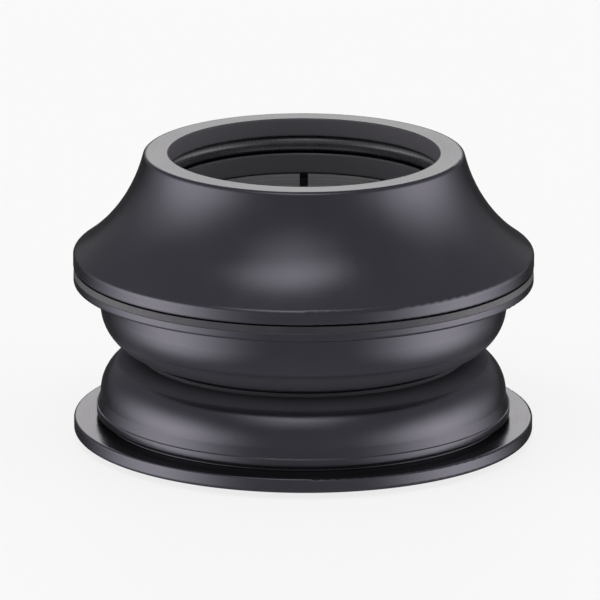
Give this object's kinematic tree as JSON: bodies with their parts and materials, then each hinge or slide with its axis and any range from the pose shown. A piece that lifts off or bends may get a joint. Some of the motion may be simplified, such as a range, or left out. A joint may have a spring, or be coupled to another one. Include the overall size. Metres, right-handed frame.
{
  "type": "bicycle headset",
  "caption": "Zero-stack threadless bicycle headset: flared dust cover and domed press-in cups with sealed ball bearings that let the fork's steerer turn in the head tube.",
  "frame": {"origin": "middle of the crown race's underside, on the steerer axis", "axes": "+Z along the steerer axis towards the handlebar, +Y towards the split of the compression ring"},
  "size_m": [0.049, 0.049, 0.031],
  "materials": {
    "anodised_black": "satin black anodised",
    "bare_aluminium": "machined, matt",
    "bearing_steel": "ground",
    "ball_steel": "polished",
    "race_steel": "blackened, turned",
    "cage_nylon": "moulded nylon",
    "seal_rubber": "moulded, satin"
  },
  "bodies": {
    "cups": {"upper_cup": "anodised_black", "lower_cup": "anodised_black", "cover_seal": "seal_rubber", "upper_bearing_outer_ring": "bearing_steel", "upper_bearing_top_seal": "seal_rubber", "upper_bearing_bottom_seal": "seal_rubber", "lower_bearing_outer_ring": "bearing_steel", "lower_bearing_top_seal": "seal_rubber", "lower_bearing_bottom_seal": "seal_rubber"},
    "cover": {"dust_cover": "anodised_black", "steerer_o_ring": "seal_rubber", "compression_ring": "bare_aluminium", "upper_bearing_inner_ring": "bearing_steel"},
    "upper_ball_set": {"upper_bearing_balls": "ball_steel", "upper_bearing_cage": "cage_nylon"},
    "crown": {"crown_race": "race_steel", "crown_race_seal": "seal_rubber", "lower_bearing_inner_ring": "bearing_steel"},
    "lower_ball_set": {"lower_bearing_balls": "ball_steel", "lower_bearing_cage": "cage_nylon"}
  },
  "joints": [
    {"name": "cover_turn", "type": "hinge", "parent": "cups", "child": "cover", "pos_m": [0, 0, 0.01489], "axis": [0, 0, 1], "continuous": true},
    {"name": "upper_balls_turn", "type": "hinge", "parent": "cups", "child": "upper_ball_set", "pos_m": [0, 0, 0.01489], "axis": [0, 0, 1], "continuous": true},
    {"name": "crown_turn", "type": "hinge", "parent": "cups", "child": "crown", "pos_m": [0, 0, 0.00445], "axis": [0, 0, 1], "continuous": true},
    {"name": "lower_balls_turn", "type": "hinge", "parent": "cups", "child": "lower_ball_set", "pos_m": [0, 0, 0.00445], "axis": [0, 0, 1], "continuous": true}
  ],
  "couplings": [
    {"joint": "upper_balls_turn", "follows": "cover_turn", "ratio": 0.4686},
    {"joint": "lower_balls_turn", "follows": "crown_turn", "ratio": 0.4686}
  ]
}
